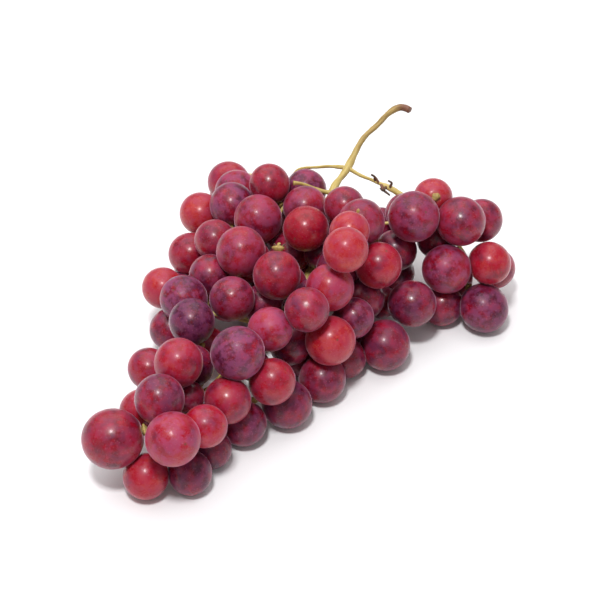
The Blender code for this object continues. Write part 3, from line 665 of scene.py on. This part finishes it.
def tube_mesh(bm, layers, path, radii, sides, woody, knobbly, random):
    """A tapering stem with a slightly uneven skin, closed at both ends."""
    path = np.array(path)
    radii = np.array(radii)
    travelled = np.concatenate([[0.0], np.cumsum(np.linalg.norm(np.diff(path, axis=0), axis=1))])
    tangent = np.gradient(path, axis=0)
    tangent /= np.linalg.norm(tangent, axis=1)[:, None]
    side = np.cross(tangent[0], (0.3, 0.5, 0.8))
    phases = random.uniform(0.0, 2.0 * math.pi, 4)
    start = random.uniform(0.0, 400.0)
    rings = []
    for point, radius, ahead, length in zip(path, radii, tangent, travelled):
        side = unit(side - ahead * (side @ ahead))
        other = np.cross(ahead, side)
        ring = []
        for step in range(sides):
            angle = 2.0 * math.pi * step / sides
            uneven = 1.0 + knobbly * (
                0.035 * math.sin(3.0 * angle + phases[0] + 0.15 * length)
                + 0.04 * math.sin(0.9 * length + phases[1])
                + 0.04 * math.sin(2.0 * angle - 0.5 * length + phases[2])
                + 0.03 * math.sin(2.3 * length + 5.0 * angle + phases[3])
            )
            place = point + (side * math.cos(angle) + other * math.sin(angle)) * radius * uneven
            vertex = bm.verts.new(to_scene(place))
            vertex[layers["grain"]] = (radius * math.cos(angle) + start, radius * math.sin(angle), length)
            vertex[layers["woody"]] = woody[0] + (woody[1] - woody[0]) * length / travelled[-1]
            ring.append(vertex)
        rings.append(ring)
    for ring, following in zip(rings, rings[1:]):
        for step in range(sides):
            nearest = (step + 1) % sides
            bm.faces.new((ring[step], ring[nearest], following[nearest], following[step]))
    bm.faces.new(rings[0][::-1])
    bm.faces.new(rings[-1])


def to_scene(place):
    """From the bunch's own millimetres to metres in the scene."""
    return (
        (place[0] + MOVE_TO_ORIGIN[0]) * METRE,
        (place[1] + MOVE_TO_ORIGIN[1]) * METRE,
        place[2] * METRE,
    )


def vertex_layers(bm, *names):
    """Room at each vertex for its place in the grain, and for a number under each of these names."""
    layers = {"grain": bm.verts.layers.float_vector.new("grain")}
    return layers | {name: bm.verts.layers.float.new(name) for name in names}


def add_object(name, data):
    """An object in the scene, with this mesh, light or camera."""
    obj = bpy.data.objects.new(name, data)
    bpy.context.scene.collection.objects.link(obj)
    return obj


def finish_mesh(name, bm, material):
    """A smooth-shaded object from the mesh, with this material."""
    bmesh.ops.recalc_face_normals(bm, faces=bm.faces[:])
    mesh = bpy.data.meshes.new(name)
    bm.to_mesh(mesh)
    bm.free()
    mesh.polygons.foreach_set("use_smooth", [True] * len(mesh.polygons))
    mesh.materials.append(material)
    return add_object(name, mesh)


class Value:
    """A value inside a material. Sums and products of values are values too."""

    def __init__(self, tree, socket):
        self.tree = tree
        self.socket = socket

    def math(self, operation, *items, clamp=False):
        return make_node(self.tree, "ShaderNodeMath", {"operation": operation, "use_clamp": clamp}, items)

    def __add__(self, other):
        return self.math("ADD", self, other)

    def __radd__(self, other):
        return self.math("ADD", other, self)

    def __sub__(self, other):
        return self.math("SUBTRACT", self, other)

    def __rsub__(self, other):
        return self.math("SUBTRACT", other, self)

    def __mul__(self, other):
        return self.math("MULTIPLY", self, other)

    def __rmul__(self, other):
        return self.math("MULTIPLY", other, self)

    def clamped(self):
        return self.math("ADD", self, 0.0, clamp=True)

    def between(self, low, high):
        """0 below the first level and 1 above the second, smoothly."""
        inputs = {"Value": self, "From Min": low, "From Max": high}
        return make_node(self.tree, "ShaderNodeMapRange", {"interpolation_type": "SMOOTHSTEP"}, inputs)

    def mix(self, low, high):
        """The first colour where this is 0 and the second where it is 1."""
        inputs = {"Factor": self, "A": low, "B": high}
        return make_node(self.tree, "ShaderNodeMix", {"data_type": "RGBA"}, inputs, "Result")


def make_node(tree, kind, settings, inputs, output=0):
    """One node of a material: its settings first, and then its inputs as numbers, colours or values."""
    node = tree.nodes.new(kind)
    for name, setting in settings.items():
        setattr(node, name, setting)
    set_inputs(node, inputs if isinstance(inputs, dict) else dict(enumerate(inputs)))
    return Value(tree, in_use(node.outputs, output))


def in_use(sockets, key):
    """The socket with this number, or the one with this name that is switched on."""
    named = [socket for socket in sockets if socket.enabled and socket.name == key]
    return named[0] if named else sockets[key]


def set_inputs(node, inputs):
    """Link the inputs that are values, and set the rest on the node's own sockets."""
    for key, item in inputs.items():
        slot = in_use(node.inputs, key)
        if isinstance(item, Value):
            item.tree.links.new(item.socket, slot)
        elif slot.type == "RGBA":
            slot.default_value = (*item, 1.0)
        else:
            slot.default_value = item


def new_material(name):
    """A plain material, its node tree and its shader."""
    material = bpy.data.materials.new(name)
    material.use_nodes = True
    tree = material.node_tree
    return material, tree, tree.nodes["Principled BSDF"]


def stored(tree, name, output="Fac"):
    """What the mesh holds under this name at each vertex."""
    return make_node(tree, "ShaderNodeAttribute", {"attribute_name": name}, {}, output)


def stretched(tree, vector, factors):
    return make_node(tree, "ShaderNodeVectorMath", {"operation": "MULTIPLY"}, (vector, factors))


def noise(tree, vector, scale, detail=3.0, roughness=0.55, distortion=0.0):
    """A soft random pattern between 0 and 1."""
    inputs = {"Vector": vector, "Scale": scale, "Detail": detail}
    inputs |= {"Roughness": roughness, "Distortion": distortion}
    return make_node(tree, "ShaderNodeTexNoise", {}, inputs, "Fac")


def bumps(tree, height, depth):
    """The slopes of a skin with this relief."""
    inputs = {"Strength": 0.5, "Distance": depth, "Height": height}
    return make_node(tree, "ShaderNodeBump", {}, inputs, "Normal")


def stem_material():
    """Tan and olive where it is woody, yellow-green where it is young, dark brown where it has dried."""
    material, tree, shader = new_material("stem_skin")
    grain = stored(tree, "grain", "Vector")
    woody = stored(tree, "woody")
    streaks = noise(tree, stretched(tree, grain, (1.0, 1.0, 0.12)), 1.1, 4.0)
    blotches = noise(tree, grain, 0.22, 3.0)
    pores = noise(tree, grain, 2.6, 2.0)
    young = streaks.between(0.3, 0.7).mix((0.49, 0.36, 0.09), (0.64, 0.51, 0.19))
    old = streaks.between(0.3, 0.7).mix((0.23, 0.145, 0.032), (0.44, 0.30, 0.10))
    skin = (woody + 0.35 * (blotches - 0.5)).between(0.25, 0.75).mix(young, old)
    cut = woody.between(0.92, 1.02).mix(skin, (0.20, 0.085, 0.05))
    dried = woody.between(1.6, 1.9).mix(cut, (0.07, 0.035, 0.02))
    colour = (pores.between(0.62, 0.72) * 0.45).mix(dried, (0.16, 0.10, 0.04))
    inputs = {
        "Base Color": colour,
        "Roughness": 0.45 + 0.3 * streaks,
        "Normal": bumps(tree, streaks + 0.5 * pores, 0.0002),
        "Subsurface Weight": 0.1,
        "Subsurface Radius": (1.0, 0.7, 0.2),
        "Subsurface Scale": 0.001,
    }
    set_inputs(shader, inputs)
    return material


# How woody each branch is where it begins and where it ends: 0 is green, 1 the cut and 2 dried up
WOODINESS = {
    "stalk": (1.05, 0.12),
    "rachis": (0.2, 0.1),
    "bare_pedicel": (0.25, 0.45),
    "right_branch": (0.2, 0.1),
    "dried_stub": (1.5, 2.0),
    "dried_twig": (1.6, 2.0),
}
# How much thinner the stalk looks than its solid, from the cut end to the fork
STALK_SLIMNESS = (0.86, 0.78, 0.76, 0.78, 0.80, 0.80, 0.80, 0.82, 0.84, 0.9)
# Small dried ends on the right branch, as readings of the photograph with their radii
DRIED_ENDS = (
    (((390.0, 187.0, 42.0), (391.5, 183.0, 44.0), (388.0, 180.5, 45.0)), (0.6, 0.5, 0.4)),
    (((386.0, 187.0, 42.5), (383.0, 190.5, 43.5), (380.0, 188.0, 44.5)), (0.6, 0.5, 0.35)),
    (((375.0, 181.0, 43.0), (374.0, 177.5, 44.5)), (0.5, 0.35)),
)
# Where a pedicel meets its berry: the neck's radius, how deep it goes in, and the warty collar round it, with
# how far out each of its rings is and its radius there
PEDICEL_NECK_RADIUS = 0.95
SEAT_DEPTH = 1.3
COLLAR = ((1.3, 0.8), (0.7, 1.4), (0.15, 1.85), (0.0, 1.7), (-SEAT_DEPTH, 0.9))
# How much wider than the others the pale collar at the tip is
COLLAR_SWELL = {"tip_1": 1.6}
# The lips that the photograph shows on berries whose pedicel is hidden, and the radius of each
LIP_RADIUS = {"saddle_1": 2.7, "wing_2": 2.0, "neck_2": 0.9}
# Where the dried scraps on one of them stand, to its left and right
SCRAP_SIDES = {"saddle_1": (-1.0, 0.3, 1.1)}


def build_stem(pedicels):
    """The whole stem in one mesh, with thicker joints and a receptacle at every berry."""
    bm = bmesh.new()
    layers = vertex_layers(bm, "woody")
    random = np.random.default_rng(SEED + 5)
    for name, (points, radii) in BRANCHES.items():
        if name == "stalk":
            radii = [radius * slimness for radius, slimness in zip(radii, STALK_SLIMNESS)]
        path, sizes = fine_path(points, radii, 9, evenness=30)
        woody = WOODINESS.get(name, (0.15, 0.05))
        tube_mesh(bm, layers, path, sizes, 18, woody, 1.0, random)
    for readings, radii in DRIED_ENDS:
        path, sizes = fine_path(seen_path(*readings), radii, 5)
        tube_mesh(bm, layers, path, sizes, 8, (1.7, 2.0), 2.0, random)
    for name, path in pedicels.items():
        add_pedicel(bm, layers, path, COLLAR_SWELL.get(name, 1.0), random)
    for name in LIP_RADIUS:
        if name not in pedicels:
            add_seen_end(bm, layers, name, random)
    return finish_mesh("stem_fine", bm, stem_material())


def add_seen_end(bm, layers, name, random):
    """The lip that the photograph shows on a berry, with the end of its pedicel and any dried scraps."""
    index = bunch.names.index(name)
    outward = facing[name]
    seat = bunch.centre[index] + outward * (bunch.radius[index] + TWIG_GAP)
    width = LIP_RADIUS[name]
    rises = (0.55 * width, 0.4 * width, 0.2 * width, 0.1, -SEAT_DEPTH)
    lip = [seat + outward * rise for rise in rises]
    sizes = [width * share for share in (0.25, 0.7, 1.0, 0.95, 0.5)]
    tube_mesh(bm, layers, lip, sizes, 18, (0.7, 0.45), 2.6, random)
    across = unit(np.cross(outward, VIEW_BACK))
    inward = unit(0.2 * VIEW_UP - VIEW_BACK)
    neck = seat + outward * 0.37 * width
    bend = neck + inward * 0.67 * width
    path, sizes = fine_path([neck, bend, neck + inward * 1.85 * width], [0.2 + 0.27 * width] * 3, 5)
    tube_mesh(bm, layers, path, sizes, 10, (0.6, 0.2), 1.0, random)
    for side in SCRAP_SIDES.get(name, ()):
        root = seat + outward * 0.9 + across * side * width * 0.45
        tip = root + (across * side * 0.7 + outward * 0.8) * width * 0.55 + VIEW_BACK * 0.3
        path, sizes = fine_path([root, (root + tip) / 2 + outward * 0.2, tip], [0.55, 0.45, 0.25], 4)
        tube_mesh(bm, layers, path, sizes, 8, (1.5, 2.0), 2.0, random)


def add_pedicel(bm, layers, path, swell, random):
    """A pedicel with a flared root, and a warty receptacle that closes on the berry."""
    outward = unit(path[-2] - path[-1])
    radii = [PEDICEL_ROOT_RADIUS] + [PEDICEL_RADIUS] * (len(path) - 2) + [PEDICEL_NECK_RADIUS]
    fine, sizes = fine_path(path, radii, 5)
    tube_mesh(bm, layers, fine, sizes, 10, (0.1, 0.25), 0.8, random)
    collar = [path[-1] + outward * rise for rise, _ in COLLAR]
    widths = [radius * swell for _, radius in COLLAR]
    woody = (0.55, 0.75) if swell == 1.0 else (0.3, 0.55)
    tube_mesh(bm, layers, collar, widths, 14, woody, 1.8, random)


bunch = settled_bunch()
pedicels, facing = grow_pedicels(bunch)
stem = build_stem(pedicels)
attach(stem, "root")
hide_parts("stem")


# The berries
# Round red table grapes, each grown on its pedicel and pressed against its neighbours where they touch.
# The skin runs from salmon red to dark purple under a pale waxy bloom that has been rubbed off in places.
SEGMENTS = 44
RINGS = 30
BERRY_NARROWNESS = 0.97
# The dimples at the two ends, as shares of the radius, and how far round they reach in radians
STEM_DIMPLE = 0.05
STEM_DIMPLE_REACH = 0.2
BLOSSOM_DIMPLE = 0.012
BLOSSOM_DIMPLE_REACH = 0.1
LUMPINESS = 0.012
# In millimetres: the gap left between pressed berries, how near one must be to press, and the lowest point
PRESSED_GAP = 0.05
NEAR = 0.4
LOWEST_POINT = 0.02


def berry_profile():
    """The polar angles of a berry's rings, closer together at its two ends."""
    even = np.linspace(0.0, math.pi, RINGS)
    return even - 0.1 * np.sin(2.0 * even)


def berry_frame(direction, turn):
    """The three axes of a berry, the last along its pedicel."""
    axis = unit(direction)
    across = unit(np.cross(axis, (0.2, 0.9, 0.4)))
    other = np.cross(axis, across)
    return (
        across * math.cos(turn) + other * math.sin(turn),
        other * math.cos(turn) - across * math.sin(turn),
        axis,
    )


def press_flat(points, own, centre, radius):
    """Flatten a berry where a neighbour or the surface presses on it."""
    offset = centre - centre[own]
    distance = np.linalg.norm(offset, axis=1)
    near = np.flatnonzero((distance < radius + radius[own] + NEAR) & (distance > 0))
    for index in near:
        normal = offset[index] / distance[index]
        middle = (distance[index] ** 2 + radius[own] ** 2 - radius[index] ** 2) / (2.0 * distance[index])
        over = (points - centre[own]) @ normal - (middle - PRESSED_GAP)
        points = points - normal * np.clip(over, 0.0, None)[:, None]
    points[:, 2] = np.maximum(points[:, 2], LOWEST_POINT)
    return points


def add_berry(bm, layers, own, centre, radius, direction, tone, bloom, random):
    """One berry with its stem-end dimple, the scar at its far end and a slightly uneven form."""
    angles = berry_profile()
    around = np.linspace(0.0, 2.0 * math.pi, SEGMENTS, endpoint=False)
    axes = berry_frame(direction, random.uniform(0.0, 2.0 * math.pi))
    grid = np.array(
        [
            [math.sin(polar) * math.cos(turn), math.sin(polar) * math.sin(turn), math.cos(polar)]
            for polar in angles[1:-1]
            for turn in around
        ]
        + [[0.0, 0.0, 1.0], [0.0, 0.0, -1.0]]
    )
    polar = np.arccos(np.clip(grid[:, 2], -1.0, 1.0))
    form = 1.0 - STEM_DIMPLE * np.exp(-((polar / STEM_DIMPLE_REACH) ** 2))
    form = form - BLOSSOM_DIMPLE * np.exp(-(((math.pi - polar) / BLOSSOM_DIMPLE_REACH) ** 2))
    for _ in range(4):
        lean = unit(random.normal(size=3))
        form = form + LUMPINESS * random.uniform(-1.0, 1.0) * ((grid @ lean) ** 2 - 0.33)
    local = grid * form[:, None] * radius[own] * np.array([BERRY_NARROWNESS, BERRY_NARROWNESS, 1.0])
    points = centre[own] + local @ np.array(axes)
    points = press_flat(points, own, centre, radius)
    shift = random.uniform(-500.0, 500.0, 3)
    vertices = []
    for place, spot, height in zip(points, local, grid[:, 2]):
        vertex = bm.verts.new(to_scene(place))
        vertex[layers["grain"]] = tuple(spot + shift)
        vertex[layers["pole"]] = height
        vertex[layers["tone"]] = tone
        vertex[layers["bloom"]] = bloom
        vertices.append(vertex)
    *rest, top, bottom = vertices
    rings = [rest[start : start + SEGMENTS] for start in range(0, len(rest), SEGMENTS)]
    for ring, lower in zip(rings, rings[1:]):
        for step in range(SEGMENTS):
            nearest = (step + 1) % SEGMENTS
            bm.faces.new((ring[step], lower[step], lower[nearest], ring[nearest]))
    for step in range(SEGMENTS):
        nearest = (step + 1) % SEGMENTS
        bm.faces.new((top, rings[0][step], rings[0][nearest]))
        bm.faces.new((bottom, rings[-1][nearest], rings[-1][step]))


def skin_material():
    """Translucent red skin, darker in patches, under a broken bloom with pale specks."""
    material, tree, shader = new_material("berry_skin")
    grain = stored(tree, "grain", "Vector")
    pole = stored(tree, "pole")
    tone = stored(tree, "tone")
    bloom = stored(tree, "bloom")
    patches = noise(tree, grain, 0.10, 2.0, 0.5, 0.3)
    mottle = noise(tree, stretched(tree, grain, (1.0, 1.0, 0.75)), 0.32, 6.0, 0.7, 0.1)
    rubbed = noise(tree, stretched(tree, grain, (1.0, 0.75, 1.0)), 0.27, 6.0, 0.66, 0.1)
    fine = noise(tree, grain, 2.4, 4.0)
    dark = (tone * 1.2 - 0.12 + 1.3 * (patches - 0.5) + 1.5 * (mottle - 0.5)).between(0.0, 1.0)
    red = dark.mix((0.35, 0.004, 0.018), (0.065, 0.0008, 0.009))
    spots = patches.between(0.62, 0.38) * mottle.between(0.44, 0.60) * (1.0 - 1.2 * tone).clamped()
    warmth = (spots + 0.3 * (0.25 - tone).between(0.0, 0.25)).clamped()
    warm = (warmth * 0.7).mix(red, (0.47, 0.045, 0.022))
    purpled = (tone - 0.3).between(0.0, 0.6) * mottle.between(0.35, 0.6)
    purple = (purpled * 0.75).mix(warm, (0.06, 0.004, 0.04))
    cover = (bloom * (0.05 + 0.85 * rubbed.between(0.42, 0.57) + 0.25 * mottle.between(0.4, 0.7))).clamped()
    waxed = (cover * 0.46).mix(purple, (0.38, 0.085, 0.215))
    cells = {"Vector": grain, "Scale": 0.9, "Randomness": 1.0}
    specks = make_node(tree, "ShaderNodeTexVoronoi", {}, cells, "Distance")
    dotted = (specks.between(0.26, 0.08) * 0.36).mix(waxed, (0.50, 0.16, 0.20))
    pale_end = (pole.between(0.93, 0.99) * 0.4).mix(dotted, (0.36, 0.15, 0.06))
    scar = ((0.0 - pole).between(0.9970, 0.9990) * 0.8).mix(pale_end, (0.13, 0.05, 0.03))
    inputs = {
        "Base Color": scar,
        "Roughness": 0.22 + 0.26 * cover + 0.08 * fine,
        "Normal": bumps(tree, fine + 0.6 * rubbed, 0.00012),
        "Subsurface Weight": 0.2,
        "Subsurface Radius": (1.0, 0.22, 0.2),
        "Subsurface Scale": 0.003,
        "Specular IOR Level": 0.28,
        "Coat Weight": 0.25 * (1.0 - cover),
        "Coat Roughness": 0.16,
        "Sheen Weight": 0.42,
        "Sheen Roughness": 0.25,
        "Sheen Tint": (1.0, 0.62, 0.80),
    }
    set_inputs(shader, inputs)
    return material


SKIN = skin_material()


def build_spray(spray, looks):
    """All the berries of one spray, with how dark and how bloomed each one seen is, in their order."""
    tones = dict(zip(SEEN[spray], looks))
    _, radius, centre, _ = bunch.arrays()
    number = bunch.sprays.index(spray)
    random = np.random.default_rng(SEED + 20 + number)
    bm = bmesh.new()
    layers = vertex_layers(bm, "pole", "tone", "bloom")
    for index, name in enumerate(bunch.names):
        if bunch.spray[index] != number:
            continue
        tone, bloom = tones.get(name, (random.uniform(0.25, 0.7), random.uniform(0.35, 0.9)))
        add_berry(bm, layers, index, centre, radius, facing[name], tone, bloom, random)
    berries = finish_mesh(f"{spray}_fine", bm, SKIN)
    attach(berries, "root")
    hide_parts(f"{spray}_berries")


# The wing
# A side bunch of dark, bloomed berries on the long right branch, with daylight between it and the body.
# The palest one, at the back, shows the lip where its pedicel goes in.
build_spray("wing", [
    (0.55, 0.75), (0.0, 0.55), (0.5, 0.5), (0.5, 0.5), (0.5, 0.85), (0.3, 0.25), (0.4, 0.5),
    (0.7, 0.7), (0.6, 0.4), (0.6, 0.35),
])

# The left shoulder
# Berries on the thin left branch, at the far side of the stalk's joint.
# They lie over each other like steps, the ones behind lower and half covered.
build_spray("shoulder", [
    (0.35, 0.5), (0.45, 0.95), (0.6, 0.9), (0.06, 0.45), (0.4, 0.3), (0.45, 0.8), (0.45, 0.4),
])

# The crown
# A short row on the rachis, running back under the fork of the stem.
# Its front berry is clear crimson with hardly any bloom left on it.
build_spray("crown", [
    (0.65, 0.9), (0.5, 0.75), (0.36, 0.12), (0.6, 0.35),
])

# The right shoulder
# Berries on the rachis's upper right branch, from the top of the bunch down to the gap before the wing.
# The two palest, salmon red, stand on top, and those deep in the gap are dark.
build_spray("neck", [
    (0.04, 0.4), (0.08, 0.5), (0.55, 0.55), (0.45, 0.5), (0.6, 0.35), (0.28, 0.3), (0.6, 0.45),
    (0.6, 0.35), (0.6, 0.35), (0.6, 0.35),
])

# The left side of the body
# Berries on the rachis's left branches that lean out over the edge of the bunch.
# Two dark purple ones with thick bloom stand out, beside a salmon red one.
build_spray("side", [
    (0.35, 0.4), (0.4, 0.75), (0.5, 0.6), (0.05, 0.45), (0.7, 1.0), (0.9, 0.6), (0.6, 0.5),
])

# The top of the body
# Berries that stand up on short pedicels from the middle of the rachis.
# The foremost shows the cream lip of its pedicel's end, with dried scraps round it.
build_spray("saddle", [
    (0.4, 0.45), (0.5, 0.7), (0.6, 0.6), (0.5, 0.5), (0.35, 0.95), (0.25, 0.8),
])

# The right side of the body
# Berries on the rachis's right branches, down to the surface, which presses the lowest ones flat.
# The front one is warm orange-red, and the rest are darker in its shade.
build_spray("flank", [
    (0.12, 0.35), (0.65, 0.7), (0.6, 0.4), (0.55, 0.5), (0.6, 0.35), (0.6, 0.35),
])

# The lower body
# Berries round the rachis where the bunch narrows, down to the surface.
# The largest dark one lies on top of them under a thick, blotched bloom.
build_spray("belly", [
    (0.68, 0.95), (0.65, 0.5), (0.4, 0.3), (0.4, 0.4), (0.65, 0.5), (0.6, 0.35),
])

# The tip
# Large berries round the thin end of the rachis, the last of them lying on the surface.
# Between the two largest a pale collar shows, where one of them is fixed to its pedicel.
build_spray("tip", [
    (0.5, 0.4), (0.35, 0.85), (0.25, 0.35), (0.65, 0.5), (0.55, 0.6), (0.3, 0.5), (0.7, 0.4),
    (0.3, 0.5), (0.4, 0.5), (0.7, 0.3), (0.6, 0.35),
])


# The surface, the light and the view
# A plain white table top, with one small light that makes the highlights and one broad light from behind
# that softens the shadows. The camera stands where the photograph was taken from.
FLOOR_HALF = 3.0


def plain_floor():
    """The table top, with its upper side at the height of the lowest berries."""
    mesh = bpy.data.meshes.new("floor")
    signs = ((-1, -1), (1, -1), (1, 1), (-1, 1))
    mesh.from_pydata([(x * FLOOR_HALF, y * FLOOR_HALF, 0.0) for x, y in signs], [], [(0, 1, 2, 3)])
    material, _, shader = new_material("floor_white")
    set_inputs(shader, {"Base Color": (0.87, 0.87, 0.88), "Roughness": 0.8, "Specular IOR Level": 0.1})
    mesh.materials.append(material)
    return add_object("floor", mesh)


def soft_light(name, place, size, power):
    """A large square light that faces the bunch."""
    light = bpy.data.lights.new(name, "AREA")
    light.size = size
    light.energy = power
    lamp = add_object(name, light)
    lamp.location = place
    lamp.rotation_euler = (-Vector(place)).to_track_quat("-Z", "Y").to_euler()


def photo_camera():
    """The camera, with the photograph's angle of view."""
    sensor = 36.0
    data = bpy.data.cameras.new("view")
    data.sensor_width = sensor
    data.lens = VIEW_FOCAL_PIXELS * sensor / PHOTO_SIZE
    data.clip_end = 20.0
    camera = add_object("view", data)
    camera.location = to_scene(VIEW_EYE)
    camera.rotation_euler = (-Vector(VIEW_BACK)).to_track_quat("-Z", "Y").to_euler()
    bpy.context.scene.camera = camera


floor = plain_floor()
soft_light("key", (0.16, -0.52, 1.35), 0.2, 14.0)
soft_light("broad", (-0.35, 0.35, 1.2), 1.7, 13.5)
world = bpy.data.worlds.new("studio")
bpy.context.scene.world = world
world.use_nodes = True
set_inputs(world.node_tree.nodes["Background"], {"Color": (1.0, 1.0, 1.0), "Strength": 0.42})
bpy.context.scene.view_settings.view_transform = "Standard"
photo_camera()
